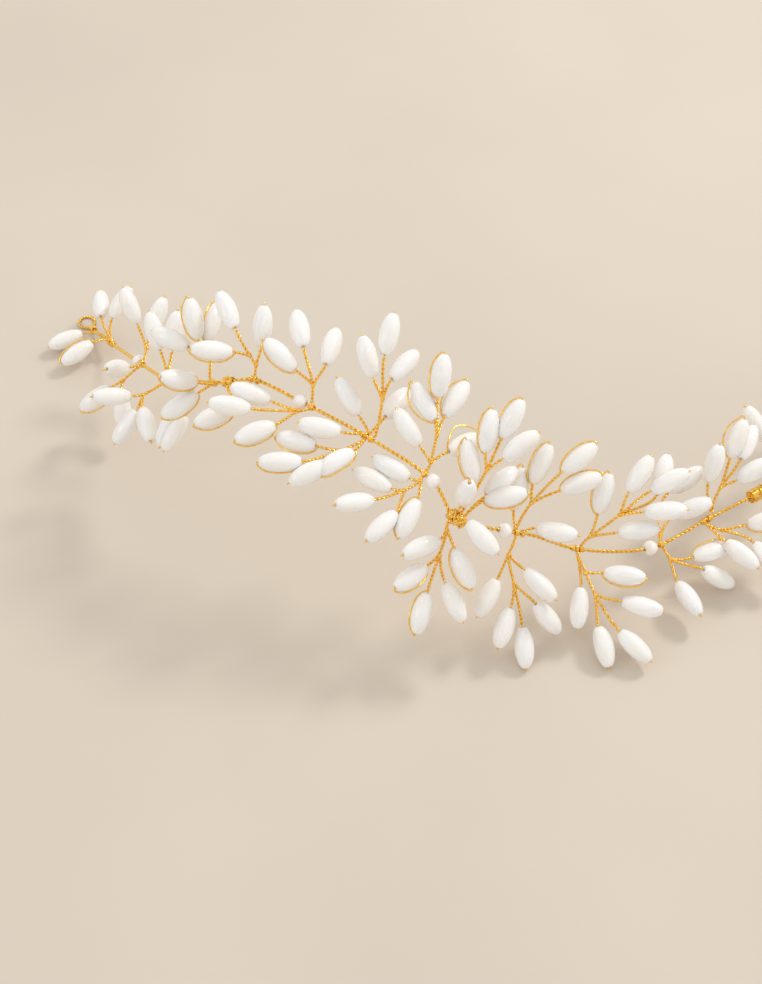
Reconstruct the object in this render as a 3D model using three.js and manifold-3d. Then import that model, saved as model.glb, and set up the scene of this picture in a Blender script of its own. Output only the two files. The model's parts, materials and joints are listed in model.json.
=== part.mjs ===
// A bridal hair vine worn as a tiara: twisted gold wire carrying rice-shaped
// mother-of-pearl beads in sprigs, with round pearls threaded on the main wire.
// Millimetres, +Z up, standing on Z = 0 in an arched, draped pose.
import * as THREE from 'three';
import { mergeVertices } from 'three/addons/utils/BufferGeometryUtils.js';
import Module from 'manifold-3d';

const wasm = await Module();
wasm.setup();

// ---- driving sizes -------------------------------------------------------
const riceLength = 8.5;        // rice bead, tip to tip
const riceWidth = 4.2;         // rice bead at its belly
const riceEndWidth = 1.7;      // flat drilled end of a rice bead
const pearlDiameter = 3.2;
const stemDiameter = 0.65;     // two 0.3 mm wires twisted together
const mainWireDiameter = 0.8;  // the main wire: two 0.42 mm wires twisted together
const hubWrapDiameter = 1.7;   // fine wire wound over the main wire at a hub
const hubWrapLength = 3;
const bindings = {             // the wound bindings that join the modules
  bindingLeft: { diameter: 2.4, length: 2.6 },
  bindingCentre: { diameter: 3.4, length: 4.6 },
  bindingRight: { diameter: 3.2, length: 5.6 },
};
const endLoopInner = 3.2;      // opening of the loops at the two ends
const runningGap = 0.3;        // between pieces that touch on the real vine
const stemSeat = 0.8;          // how far a stem reaches into its bead
const forkDiameter = 1.5;      // the knot of wire where stems part
const vineLength = 290;        // along the main wire, end loop to end loop
const drawnVineLength = 290;   // length that the points below were chosen for
const stemReach = 1;           // every stem's length is multiplied by this

const riceSides = 6;
const stemSides = 4;
const mainWireSides = 6;
const pearlSides = 8;
const bindingSides = 8;
const loopSides = 12;
const mainWireStep = 2.5;      // one ring of the main wire each 2.5 mm

const gold = { color: 0xd9a441, metalness: 1, roughness: 0.3 };
const nacre = { color: 0xeeeae6, metalness: 0, roughness: 0.3 };
const pearl = { color: 0xefe4dc, metalness: 0, roughness: 0.25 };

// ---- the main wire ---------------------------------------------------------
// Chosen points from the left end to the right, seen from the front. X is to the
// right, Y away, and the large centre binding is over the origin.
const vinePoints = {
  leftEnd: [-84.5, 85, 0.8],
  hub1: [-78.5, 76, 4.6],
  leftRun: [-73.5, 67, 10],
  pearl1: [-69.5, 59, 15.5],
  hub2: [-61, 43.5, 26],
  pearl2: [-55.5, 37.5, 32],
  hub3: [-49.5, 31.5, 37],
  bindingLeft: [-46, 29.8, 39],
  hub4: [-40.5, 28.3, 41],
  pearl3: [-31, 22.5, 40.5],
  hub5: [-17.5, 13.8, 39],
  pearl4: [-4.5, 6, 34],
  bindingCentre: [0, 0, 29.5],
  pearl5: [10, 1, 24],
  rightRun: [16, 2, 21],
  hub6: [25.5, 2.2, 16],
  pearl6: [41.5, 6, 11],
  hub7: [54, 12.5, 12],
  bindingRight: [66.5, 20.5, 11],
  hub8: [73, 25, 10.5],
  pearl7: [81, 31, 10],
  hub9: [89, 37.5, 8.6],
  pearl8: [104, 51, 7],
  hub10: [115, 63, 4],
  rightEnd: [125, 75, 0.8],
};

const pearlCount = 8;
const vineScale = vineLength / drawnVineLength;
const pointNames = Object.keys(vinePoints);
const vineCurve = new THREE.CatmullRomCurve3(
  pointNames.map((name) => new THREE.Vector3(...vinePoints[name]).multiplyScalar(vineScale)),
);
const curveDivisions = 4000;
vineCurve.arcLengthDivisions = curveDivisions;
const vineRun = vineCurve.getLength();
const arcLengths = vineCurve.getLengths(curveDivisions);

// Distance along the main wire from its left end to a named point.
function distanceTo(name) {
  const share = pointNames.indexOf(name) / (pointNames.length - 1);
  return arcLengths[Math.round(share * curveDivisions)];
}

const pointAlong = (distance) => vineCurve.getPointAt(distance / vineRun);
const directionAlong = (distance) => vineCurve.getTangentAt(distance / vineRun);

// ---- sprig layout ------------------------------------------------------------
// A stem or a rice bead grows from where its parent ends. Each gives the stem's
// length in mm, its heading (0 = +X, 90 = +Y) and its rise above level in degrees.
const stem = (length, heading, rise, ...shoots) => ({ length, heading, rise, shoots });
const rice = (length, heading, rise, beadHeading, beadRise) => (
  { length, heading, rise, beadHeading, beadRise });

// A sprig is tied to the main wire at a named point, shifted along the wire, on the
// side that its own heading and rise give.
const sprigs = [
  { name: 'sprig_left_end', at: 'hub1', shift: 0, side: [0, 90], shoots: [
    rice(4.5, 80, 30, 50, 35),
    rice(5.5, 115, 20, 95, 0),
    rice(4.5, 195, -14, 215, -12),
    rice(8, 155, -16, 200, -8)] },
  { name: 'sprig_pearl1_back', at: 'pearl1', shift: 2.6, side: [60, 20], shoots: [
    stem(3, 80, 30,
      rice(3.5, 70, 35, 60, 40),
      rice(6, 115, 30, 118, 45))] },
  { name: 'sprig_pearl1_front', at: 'pearl1', shift: 3, side: [210, -10], shoots: [
    rice(2.5, 200, 20, 240, 40),
    stem(4.5, 215, -25,
      rice(3, 200, -20, 205, -25),
      rice(2.5, 255, -35, 275, -45))] },
  { name: 'sprig_hub2_back', at: 'hub2', shift: -0.8, side: [70, 30], shoots: [
    rice(4.5, 75, 40, 75, 50),
    rice(5, 115, 25, 110, 40)] },
  { name: 'sprig_hub2_front', at: 'hub2', shift: 0.8, side: [215, -20], shoots: [
    stem(5.5, 200, -20,
      rice(2.5, 185, 5, 200, 20),
      rice(3.5, 240, -45, 225, -35),
      rice(3, 275, -25, 285, -10))] },
  { name: 'sprig_pearl2_front', at: 'pearl2', shift: 2.6, side: [225, -30], shoots: [
    rice(6, 226, -42, 238, -34),
    rice(6.5, 255, -40, 232, -30)] },
  { name: 'sprig_hub3_back', at: 'hub3', shift: -1, side: [60, 60], shoots: [
    stem(4, 85, 50,
      rice(4.5, 140, 45, 105, 48),
      rice(3.5, 105, 20, 75, 25),
      rice(5, 160, 15, 155, 8))] },
  { name: 'sprig_hub3_front', at: 'hub3', shift: 0.6, side: [225, 10], shoots: [
    rice(3, 190, 35, 200, 32),
    rice(3, 214, -8, 211, -14)] },
  { name: 'sprig_binding_left', at: 'bindingLeft', shift: 0, side: [260, 0], shoots: [
    rice(5.5, 288, -6, 203, -6)] },
  { name: 'sprig_hub4_back', at: 'hub4', shift: 0, side: [80, 50], shoots: [
    stem(2, 80, 40,
      rice(3.5, 65, 45, 80, 52),
      stem(2.5, 145, 40,
        rice(3.5, 190, 20, 185, 12),
        rice(6, 125, 40, 114, 22)))] },
  { name: 'sprig_pearl3_back', at: 'pearl3', shift: 2.6, side: [70, 60], shoots: [
    stem(4, 85, 50,
      rice(7.5, 110, 45, 100, 15),
      rice(4.6, 38, 42, 74, 14),
      rice(4.5, 150, 22, 141, 26))] },
  { name: 'sprig_pearl3_front', at: 'pearl3', shift: 2.8, side: [238, 0], shoots: [
    stem(2.5, 183, 0,
      rice(6, 156, 5, 165, 16),
      rice(9.5, 183, 9, 180, 14),
      rice(6, 223, 3, 202, -5))] },
  { name: 'sprig_hub5_back', at: 'hub5', shift: 1.4, side: [70, 40], shoots: [
    stem(7.5, 75, 47,
      rice(4.5, 128, 48, 110, 46),
      rice(8.5, 85, 45, 73, 36),
      rice(4.2, 48, 48, 52, 5))] },
  { name: 'sprig_hub5_behind', at: 'hub5', shift: 0, side: [70, 0], shoots: [
    rice(4.4, 131, 20, 128, 38),
    rice(4.5, 52, 5, 56, 2)] },
  { name: 'sprig_hub5_left', at: 'hub5', shift: -1.6, side: [200, 30], shoots: [
    rice(3.5, 176, 12, 171, 10)] },
  { name: 'sprig_hub5_front', at: 'hub5', shift: 0, side: [230, 0], shoots: [
    stem(5, 203, 0,
      rice(5, 161, -3, 158, -3),
      rice(8, 199, 0, 182, 3),
      rice(4, 235, -2, 203, -12)),
    rice(3.2, 235, 8, 212, -10)] },
  { name: 'sprig_pearl4_back', at: 'pearl4', shift: -2.2, side: [60, 50], shoots: [
    stem(2, 60, 40,
      rice(4, 135, 30, 130, 36),
      stem(5.5, 72, 45,
        rice(2.8, 104, 38, 122, 30),
        rice(7.5, 87, 45, 76, 46),
        rice(4, 62, 28, 55, 18)),
      rice(4.2, 33, 2, 40, -12))] },
  { name: 'sprig_pearl4_front', at: 'pearl4', shift: -2.4, side: [235, -10], shoots: [
    stem(1.2, 260, -20,
      rice(2.4, 155, 4, 150, 12),
      stem(4, 205, -10,
        rice(2.5, 155, -8, 153, 10),
        rice(6.2, 193, -8, 204, 18),
        rice(4.5, 248, -31, 226, -8)),
      rice(3.5, 258, -32, 240, -28))] },
  { name: 'sprig_centre_top', at: 'bindingCentre', shift: -1, side: [60, 60], shoots: [
    rice(1.2, 60, 50, 300, 76)] },
  { name: 'sprig_centre_back', at: 'bindingCentre', shift: 0.2, side: [50, 40], shoots: [
    stem(5, 46, 42,
      rice(1.5, 115, 40, 103, 44),
      stem(4.5, 46, 45,
        rice(3.5, 98, 45, 75, 46),
        rice(7, 56, 40, 48, 46),
        rice(4, 15, 35, 21, 30)))] },
  { name: 'sprig_centre_right', at: 'bindingCentre', shift: 1.6, side: [40, 10], shoots: [
    rice(4, 16, 20, 2, 14),
    rice(4.8, 30, 22, 42, 10)] },
  { name: 'sprig_centre_low', at: 'bindingCentre', shift: 0.6, side: [310, 0], shoots: [
    rice(1.6, 0, 16, 314, -20)] },
  { name: 'sprig_centre_front', at: 'bindingCentre', shift: -0.8, side: [245, -35], shoots: [
    stem(1.6, 290, -45,
      rice(2.4, 224, -24, 210, 6),
      rice(4, 305, -48, 298, -34),
      stem(5.5, 242, -50,
        rice(3.4, 202, -32, 222, 4),
        rice(7.8, 243, -45, 250, -38),
        rice(5.6, 289, -49, 298, -32)))] },
  { name: 'sprig_pearl5_back', at: 'pearl5', shift: 2.6, side: [90, 20], shoots: [
    rice(3.5, 95, 40, 72, 40),
    stem(6, 41, 40,
      rice(4, 85, 45, 55, 48),
      rice(9, 27, 40, 27, 28),
      rice(6.5, 11, 20, 7, 20))] },
  { name: 'sprig_pearl5_right', at: 'pearl5', shift: 4.4, side: [60, 60], shoots: [
    rice(2.5, 5, 0, 342, 4)] },
  { name: 'sprig_pearl5_front', at: 'pearl5', shift: 2.8, side: [270, -20], shoots: [
    stem(4.2, 237, -33,
      rice(5.5, 233, -50, 233, -35),
      rice(5, 341, -40, 319, -22),
      stem(6.5, 292, -55,
        rice(5, 256, -55, 246, -36),
        rice(9.5, 289, -57, 275, -40),
        rice(6.2, 336, -38, 331, -48)))] },
  { name: 'sprig_hub6_back', at: 'hub6', shift: 0.6, side: [60, 40], shoots: [
    stem(2.5, 16, 35,
      rice(5, 67, 45, 66, 50),
      rice(5.5, 3, 5, 0, 8),
      stem(7.5, 19, 35,
        rice(5, 61, 45, 48, 36),
        rice(8, 30, 22, 16, 22),
        rice(5, 0, 8, 354, 10),
        rice(10, 33, 2, 72, 20)))] },
  { name: 'sprig_hub6_front', at: 'hub6', shift: -0.2, side: [280, -10], shoots: [
    rice(6.5, 278, -48, 262, -36),
    stem(4, 300, -38,
      rice(3.8, 2, 3, 347, 4),
      stem(5, 300, -38,
        rice(5.5, 349, -6, 343, -2),
        rice(6.3, 275, -40, 285, -32),
        rice(8.8, 308, -28, 317, -19)))] },
  { name: 'sprig_pearl6_back', at: 'pearl6', shift: 2.6, side: [100, 10], shoots: [
    rice(6.4, 52, 14, 11, 20),
    rice(12.2, 72, 10, 27, 20)] },
  { name: 'sprig_pearl6_front', at: 'pearl6', shift: 2.6, side: [300, -20], shoots: [
    stem(3, 306, -28,
      rice(5.2, 17, -10, 19, 1),
      rice(7.2, 351, -15, 356, -36),
      rice(4.8, 285, -27, 298, -10))] },
  { name: 'sprig_hub7_back', at: 'hub7', shift: 2, side: [110, 20], shoots: [
    rice(6, 95, 55, 62, 60),
    stem(5.5, 50, 42,
      rice(6.5, 66, 45, 60, 52),
      rice(7, 44, 36, 64, 14),
      rice(3.5, 10, 20, 12, 30))] },
  { name: 'sprig_hub7_front', at: 'hub7', shift: -0.6, side: [310, -10], shoots: [
    rice(4.6, 315, -10, 318, -13),
    stem(3, 345, 0,
      rice(5.5, 14, 2, 2, 14),
      rice(7, 341, -14, 309, -20))] },
  { name: 'sprig_hub8_back', at: 'hub8', shift: 0, side: [125, 45], shoots: [
    stem(4, 115, 45,
      rice(4.5, 150, 40, 135, 45),
      rice(6, 95, 50, 90, 48),
      rice(5, 60, 30, 62, 25))] },
  { name: 'sprig_pearl7_front', at: 'pearl7', shift: 2.6, side: [310, -10], shoots: [
    stem(3, 300, -15,
      rice(3, 330, -5, 330, 0),
      rice(5, 290, -18, 290, -14),
      rice(4, 250, -12, 248, -12))] },
  { name: 'sprig_hub9_back', at: 'hub9', shift: 0.4, side: [130, 40], shoots: [
    stem(5, 125, 40,
      rice(4.5, 165, 35, 160, 30),
      rice(6.5, 120, 48, 115, 48),
      rice(5, 80, 25, 75, 22))] },
  { name: 'sprig_hub9_front', at: 'hub9', shift: 0.4, side: [310, -15], shoots: [
    stem(4, 320, -20,
      rice(4.5, 2, -8, 5, -6),
      rice(6.5, 325, -20, 325, -14),
      rice(4, 300, -15, 300, -15))] },
  { name: 'sprig_pearl8_back', at: 'pearl8', shift: 2.6, side: [135, 25], shoots: [
    rice(4.5, 175, 20, 175, 26),
    rice(5.5, 140, 42, 135, 44),
    rice(6, 105, 25, 100, 25)] },
  { name: 'sprig_right_end', at: 'hub10', shift: 0, side: [0, 90], shoots: [
    rice(5, 140, 12, 130, 8),
    rice(7, 95, 8, 85, 2),
    rice(4.5, 350, -12, 340, -10),
    rice(7.5, 15, -14, 15, -8)] },
];

// ---- solids --------------------------------------------------------------------
const radians = THREE.MathUtils.degToRad;
const up = new THREE.Vector3(0, 1, 0);      // three.js lathes and cylinders stand on Y

function headed(heading, rise) {
  const level = Math.cos(radians(rise));
  return new THREE.Vector3(
    level * Math.cos(radians(heading)), level * Math.sin(radians(heading)), Math.sin(radians(rise)));
}

function toSolid(geometry) {
  geometry.deleteAttribute('normal');
  geometry.deleteAttribute('uv');
  const merged = mergeVertices(geometry, 1e-4);
  return new wasm.Manifold(new wasm.Mesh({
    numProp: 3,
    vertProperties: new Float32Array(merged.attributes.position.array),
    triVerts: new Uint32Array(merged.index.array),
  }));
}

function toGeometry(solid) {
  const { vertProperties, triVerts } = solid.getMesh();
  const geometry = new THREE.BufferGeometry();
  geometry.setAttribute('position', new THREE.BufferAttribute(new Float32Array(vertProperties), 3));
  geometry.setIndex(new THREE.BufferAttribute(new Uint32Array(triVerts), 1));
  geometry.computeVertexNormals();
  return geometry;
}

// Turns a shape that stands on Y to a direction and puts its foot at a point.
function aimed(geometry, foot, direction) {
  const turn = new THREE.Quaternion().setFromUnitVectors(up, direction);
  geometry.applyQuaternion(turn);
  geometry.translate(foot.x, foot.y, foot.z);
  return geometry;
}

// A straight length of twisted wire.
function stemRod(foot, direction, length) {
  const rod = new THREE.CylinderGeometry(stemDiameter / 2, stemDiameter / 2, length, stemSides);
  rod.translate(0, length / 2, 0);
  return toSolid(aimed(rod, foot, direction));
}

// The knot of wire where a stem parts into several.
function forkKnot(centre, direction) {
  return toSolid(aimed(new THREE.OctahedronGeometry(forkDiameter / 2), centre, direction));
}

// A rice bead: a spindle between two flat drilled ends.
function riceBead(foot, direction) {
  const belly = riceWidth / 2;
  const shoulder = belly * 0.82;
  const profile = [
    [0, 0], [riceEndWidth / 2, 0], [shoulder, 0.22], [belly, 0.5], [shoulder, 0.78],
    [riceEndWidth / 2, 1], [0, 1],
  ].map(([radius, share]) => new THREE.Vector2(radius, share * riceLength));
  return toSolid(aimed(new THREE.LatheGeometry(profile, riceSides), foot, direction));
}

function grow(foot, shoots, cameFrom) {
  const solids = shoots.length > 1 ? [forkKnot(foot, cameFrom)] : [];
  for (const shoot of shoots) {
    const direction = headed(shoot.heading, shoot.rise);
    const length = shoot.length * stemReach;
    const tip = foot.clone().addScaledVector(direction, length);
    if (shoot.shoots) {
      solids.push(stemRod(foot, direction, length));
      solids.push(...grow(tip, shoot.shoots, direction));
    } else {
      solids.push(stemRod(foot, direction, length + stemSeat));
      solids.push(riceBead(tip, headed(shoot.beadHeading, shoot.beadRise)));
    }
  }
  return solids;
}

// Radius of what is wound on the main wire where a sprig is tied.
function collarRadius(name) {
  if (name in bindings) return bindings[name].diameter / 2;
  if (name.startsWith('hub')) return hubWrapDiameter / 2;
  return mainWireDiameter / 2;
}

function sprigSolid({ at, shift, side, shoots }) {
  const place = distanceTo(at) + shift;
  const along = directionAlong(place);
  const outward = headed(...side);
  outward.addScaledVector(along, -outward.dot(along)).normalize();
  const footRadius = (shoots.length > 1 ? forkDiameter : stemDiameter) / 2;
  const stand = collarRadius(at) + runningGap + footRadius;
  const foot = pointAlong(place).addScaledVector(outward, stand);
  const solids = grow(foot, shoots, outward);
  return solids.slice(1).reduce((whole, solid) => whole.add(solid), solids[0]);
}

function polygon(radius, sides) {
  const points = [];
  for (let side = 0; side < sides; side += 1) {
    const turn = (side / sides) * 2 * Math.PI;
    points.push(new THREE.Vector2(radius * Math.cos(turn), radius * Math.sin(turn)));
  }
  return points;
}

// A tube or a sleeve that follows the main wire between two distances.
function alongWire(from, to, outerRadius, innerRadius, sides) {
  const steps = Math.max(2, Math.ceil((to - from) / mainWireStep));
  const points = [];
  for (let step = 0; step <= steps; step += 1) {
    points.push(pointAlong(from + ((to - from) * step) / steps));
  }
  const section = new THREE.Shape(polygon(outerRadius, sides));
  if (innerRadius > 0) section.holes.push(new THREE.Path(polygon(innerRadius, sides).reverse()));
  const sweep = new THREE.ExtrudeGeometry(section, {
    extrudePath: new THREE.CatmullRomCurve3(points), steps, bevelEnabled: false,
  });
  return toSolid(sweep);
}

// ---- the assembly ----------------------------------------------------------------
const vine = new THREE.Group();

function addPiece(name, solid, finish) {
  const mesh = new THREE.Mesh(toGeometry(solid), new THREE.MeshStandardMaterial(finish));
  mesh.name = name;
  vine.add(mesh);
}

const pearlPlaces = [];
for (let number = 1; number <= pearlCount; number += 1) {
  pearlPlaces.push(distanceTo(`pearl${number}`));
}
const pearlRadius = pearlDiameter / 2;
const centreSection = pearlCount / 2;

// The main wire is cut at every pearl. The stretch on the centre's side runs through
// the pearl's bore, and the next stretch out starts just clear of the pearl.
for (let section = 0; section <= pearlCount; section += 1) {
  const clearOfPearl = pearlRadius + runningGap;
  const throughPearl = pearlRadius * 0.9;
  const leftReach = section > centreSection ? clearOfPearl : -throughPearl;
  const rightReach = section < centreSection ? clearOfPearl : -throughPearl;
  const from = section === 0 ? 0 : pearlPlaces[section - 1] + leftReach;
  const to = section === pearlCount ? vineRun : pearlPlaces[section] - rightReach;
  let wire = alongWire(from, to, mainWireDiameter / 2, 0, mainWireSides);
  for (const name of pointNames.filter((point) => point.startsWith('hub'))) {
    const hub = distanceTo(name);
    if (hub > from && hub < to) {
      wire = wire.add(alongWire(hub - hubWrapLength / 2, hub + hubWrapLength / 2,
        hubWrapDiameter / 2, 0, mainWireSides));
    }
  }
  addPiece(`main_wire_${section + 1}`, wire, gold);
}

// Round pearls with a bore that the main wire runs through.
pearlPlaces.forEach((place, index) => {
  const direction = directionAlong(place);
  const ball = new THREE.SphereGeometry(pearlRadius, pearlSides, pearlSides - 3);
  const boreRadius = (mainWireDiameter / 2 + runningGap) / Math.cos(Math.PI / pearlSides);
  const drill = new THREE.CylinderGeometry(boreRadius, boreRadius, pearlDiameter * 2, pearlSides);
  const centre = pointAlong(place);
  const drilled = toSolid(aimed(ball, centre, direction))
    .subtract(toSolid(aimed(drill, centre, direction)));
  addPiece(`pearl_${index + 1}`, drilled, pearl);
});

for (const [name, { diameter, length }] of Object.entries(bindings)) {
  const place = distanceTo(name);
  const bore = (mainWireDiameter / 2 + runningGap) / Math.cos(Math.PI / bindingSides);
  addPiece(name.replace('binding', 'binding_').toLowerCase(),
    alongWire(place - length / 2, place + length / 2, diameter / 2, bore, bindingSides), gold);
}

// A flat, level loop beyond each end of the main wire, for a hair pin or a ribbon.
for (const [name, place, way] of [['end_loop_left', 0, -1], ['end_loop_right', vineRun, 1]]) {
  const outward = directionAlong(place).multiplyScalar(way);
  const inner = endLoopInner / 2;
  const outer = inner + stemDiameter;
  const half = stemDiameter / 2;
  const section = [[inner, -half], [outer, -half], [outer, half], [inner, half], [inner, -half]]
    .map(([radius, height]) => new THREE.Vector2(radius, height));
  const centre = pointAlong(place).addScaledVector(outward.setZ(0).normalize(), outer + runningGap);
  const ring = aimed(new THREE.LatheGeometry(section, loopSides), centre, new THREE.Vector3(0, 0, 1));
  addPiece(name, toSolid(ring), gold);
}

for (const layout of sprigs) addPiece(layout.name, sprigSolid(layout), nacre);

// The vine stands on Z = 0 with the middle of its box over the origin.
const box = new THREE.Box3().setFromObject(vine);
const middle = box.getCenter(new THREE.Vector3());
for (const mesh of vine.children) {
  mesh.geometry.translate(-middle.x, -middle.y, -box.min.z);
}

export default vine;
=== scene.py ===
import bisect
import json
import math
import random

import bmesh
import bpy
from mathutils import Matrix, Vector


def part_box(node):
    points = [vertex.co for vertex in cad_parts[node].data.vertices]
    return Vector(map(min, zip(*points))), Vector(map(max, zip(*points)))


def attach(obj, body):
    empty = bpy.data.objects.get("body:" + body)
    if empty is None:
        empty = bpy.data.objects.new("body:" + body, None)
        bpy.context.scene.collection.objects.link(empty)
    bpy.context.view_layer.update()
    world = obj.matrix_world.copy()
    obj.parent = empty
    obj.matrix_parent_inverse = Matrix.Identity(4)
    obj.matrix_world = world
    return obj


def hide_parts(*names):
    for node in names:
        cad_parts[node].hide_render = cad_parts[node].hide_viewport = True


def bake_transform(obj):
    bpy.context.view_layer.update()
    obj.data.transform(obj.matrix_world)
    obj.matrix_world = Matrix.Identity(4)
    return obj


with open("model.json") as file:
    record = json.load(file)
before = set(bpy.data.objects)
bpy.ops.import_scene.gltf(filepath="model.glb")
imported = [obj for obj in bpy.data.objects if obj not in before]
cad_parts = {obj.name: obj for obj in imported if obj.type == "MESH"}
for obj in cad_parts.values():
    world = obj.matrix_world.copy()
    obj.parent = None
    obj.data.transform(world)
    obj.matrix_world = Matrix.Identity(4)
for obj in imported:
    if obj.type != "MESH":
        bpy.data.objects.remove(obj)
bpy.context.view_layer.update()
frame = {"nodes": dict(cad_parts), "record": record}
print("frame loaded:", len(frame["nodes"]), "CAD nodes")

bodyOf = {node: body for body, nodes in frame["record"]["behaviour"]["bodies"].items() for node in nodes}
mm = 0.001                     # lengths are in millimetres until a mesh is finished
turns = random.Random(11)      # every irregular turn, cut and wander comes from this


# The same route as the CAD main wire, left end to right end: +X is to the right, +Y is
# away, and zero is the centre binding.
vinePoints = {
    "left_end": (-84.5, 85, 0.8),
    "hub1": (-78.5, 76, 4.6),
    "left_run": (-73.5, 67, 10),
    "pearl1": (-69.5, 59, 15.5),
    "hub2": (-61, 43.5, 26),
    "pearl2": (-55.5, 37.5, 32),
    "hub3": (-49.5, 31.5, 37),
    "binding_left": (-46, 29.8, 39),
    "hub4": (-40.5, 28.3, 41),
    "pearl3": (-31, 22.5, 40.5),
    "hub5": (-17.5, 13.8, 39),
    "pearl4": (-4.5, 6, 34),
    "binding_centre": (0, 0, 29.5),
    "pearl5": (10, 1, 24),
    "right_run": (16, 2, 21),
    "hub6": (25.5, 2.2, 16),
    "pearl6": (41.5, 6, 11),
    "hub7": (54, 12.5, 12),
    "binding_right": (66.5, 20.5, 11),
    "hub8": (73, 25, 10.5),
    "pearl7": (81, 31, 10),
    "hub9": (89, 37.5, 8.6),
    "pearl8": (104, 51, 7),
    "hub10": (115, 63, 4),
    "right_end": (125, 75, 0.8),
}
pointNames = list(vinePoints)
pearlCount = 8
spanSteps = 170


def smoothRoute(points, steps):
    # a centripetal Catmull-Rom curve through the points, as many steps in each span
    points = [Vector(p) for p in points]
    points = [2 * points[0] - points[1], *points, 2 * points[-1] - points[-2]]
    route = []
    for p0, p1, p2, p3 in zip(points, points[1:], points[2:], points[3:]):
        d0, d1, d2 = (max((b - a).length ** 0.5, 1e-4) for a, b in ((p0, p1), (p1, p2), (p2, p3)))
        out = ((p1 - p0) / d0 - (p2 - p0) / (d0 + d1) + (p2 - p1) / d1) * d1
        into = ((p2 - p1) / d1 - (p3 - p1) / (d1 + d2) + (p3 - p2) / d2) * d1
        for step in range(steps):
            t = step / steps
            route.append(p1 * (2 * t**3 - 3 * t**2 + 1) + out * (t**3 - 2 * t**2 + t)
                         + p2 * (3 * t**2 - 2 * t**3) + into * (t**3 - t**2))
    route.append(points[-2])
    return route


class Route:
    # a line of points that is read by the distance along it
    def __init__(self, points):
        self.points = points
        self.reached = [0.0]
        for a, b in zip(points, points[1:]):
            self.reached.append(self.reached[-1] + (b - a).length)
        self.length = self.reached[-1]

    def at(self, distance):
        distance = min(max(distance, 0.0), self.length)
        i = min(max(bisect.bisect_right(self.reached, distance) - 1, 0), len(self.points) - 2)
        span = self.reached[i + 1] - self.reached[i]
        return self.points[i].lerp(self.points[i + 1], (distance - self.reached[i]) / max(span, 1e-9))

    def direction(self, distance):
        reach = 0.05
        return (self.at(distance + reach) - self.at(distance - reach)).normalized()


vine = Route(smoothRoute(vinePoints.values(), spanSteps))


def distanceTo(name):
    return vine.reached[pointNames.index(name) * spanSteps]


def cadCentre(node):
    low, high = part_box(node)
    return (low + high) / 2 / mm


# Where the route's zero lies in the frame, from where the CAD pearls are.
shift = Vector((0, 0, 0))
for number in range(1, pearlCount + 1):
    shift += (cadCentre(f"pearl_{number}") - vine.at(distanceTo(f"pearl{number}"))) / pearlCount
vine = Route([p + shift for p in vine.points])
pearlPlaces = [distanceTo(f"pearl{number}") for number in range(1, pearlCount + 1)]
hubNames = [name for name in pointNames if name.startswith("hub")]
print("route laid,", round(vine.length), "mm; zero at", [round(v, 1) for v in shift])


def headed(heading, rise):
    # 0 degrees is +X and 90 is +Y; rise is above level
    level = math.cos(math.radians(rise))
    heading = math.radians(heading)
    return Vector((level * math.cos(heading), level * math.sin(heading), math.sin(math.radians(rise))))


def sideways(direction):
    other = Vector((0, 0, 1)) if abs(direction.z) < 0.9 else Vector((1, 0, 0))
    return direction.cross(other).normalized()


def squareTo(vector, axis):
    return (vector - axis * vector.dot(axis)).normalized()


def newMaterial(name):
    material = bpy.data.materials.new(name)
    material.use_nodes = True
    tree = material.node_tree
    return material, tree, tree.nodes["Principled BSDF"]


def addNode(tree, kind, inputs=None, **settings):
    node = tree.nodes.new("ShaderNode" + kind)
    for key, value in settings.items():
        setattr(node, key, value)
    for key, value in (inputs or {}).items():
        if isinstance(value, bpy.types.NodeSocket):
            tree.links.new(value, node.inputs[key])
        else:
            node.inputs[key].default_value = value
    return node


def addRamp(tree, factor, stops):
    ramp = addNode(tree, "ValToRGB", {"Fac": factor})
    ramp.color_ramp.elements[0].position, ramp.color_ramp.elements[0].color = stops[0]
    ramp.color_ramp.elements[1].position, ramp.color_ramp.elements[1].color = stops[-1]
    for position, colour in stops[1:-1]:
        ramp.color_ramp.elements.new(position).color = colour
    return ramp.outputs["Color"]


goldLook = {
    "deep": (1.0, 0.49, 0.035, 1), "bright": (1.0, 0.72, 0.20, 1),
    "roughness": (0.1, 0.22), "mottle": 1.4, "grain": 9.0, "metal": 0.95,
}


def goldMaterial():
    material, tree, shader = newMaterial("gold_wire")
    place = addNode(tree, "Mapping", {
        "Vector": addNode(tree, "TexCoord").outputs["Object"], "Scale": (1000, 1000, 1000)})
    mottle = addNode(tree, "TexNoise", {
        "Vector": place.outputs["Vector"], "Scale": goldLook["mottle"], "Detail": 3.0})
    grain = addNode(tree, "TexNoise", {
        "Vector": place.outputs["Vector"], "Scale": goldLook["grain"], "Detail": 2.0})
    colour = addRamp(tree, mottle.outputs["Fac"], [
        (0.3, goldLook["deep"]), (0.62, goldLook["bright"])])
    gloss = addNode(tree, "MapRange", {
        "Value": grain.outputs["Fac"], "From Min": 0.3, "From Max": 0.7,
        "To Min": goldLook["roughness"][0], "To Max": goldLook["roughness"][1]})
    dents = addNode(tree, "Bump", {
        "Height": grain.outputs["Fac"], "Strength": 0.12, "Distance": 0.02 * mm})
    tree.links.new(colour, shader.inputs["Base Color"])
    tree.links.new(gloss.outputs["Result"], shader.inputs["Roughness"])
    tree.links.new(dents.outputs["Normal"], shader.inputs["Normal"])
    shader.inputs["Metallic"].default_value = goldLook["metal"]
    return material


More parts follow.
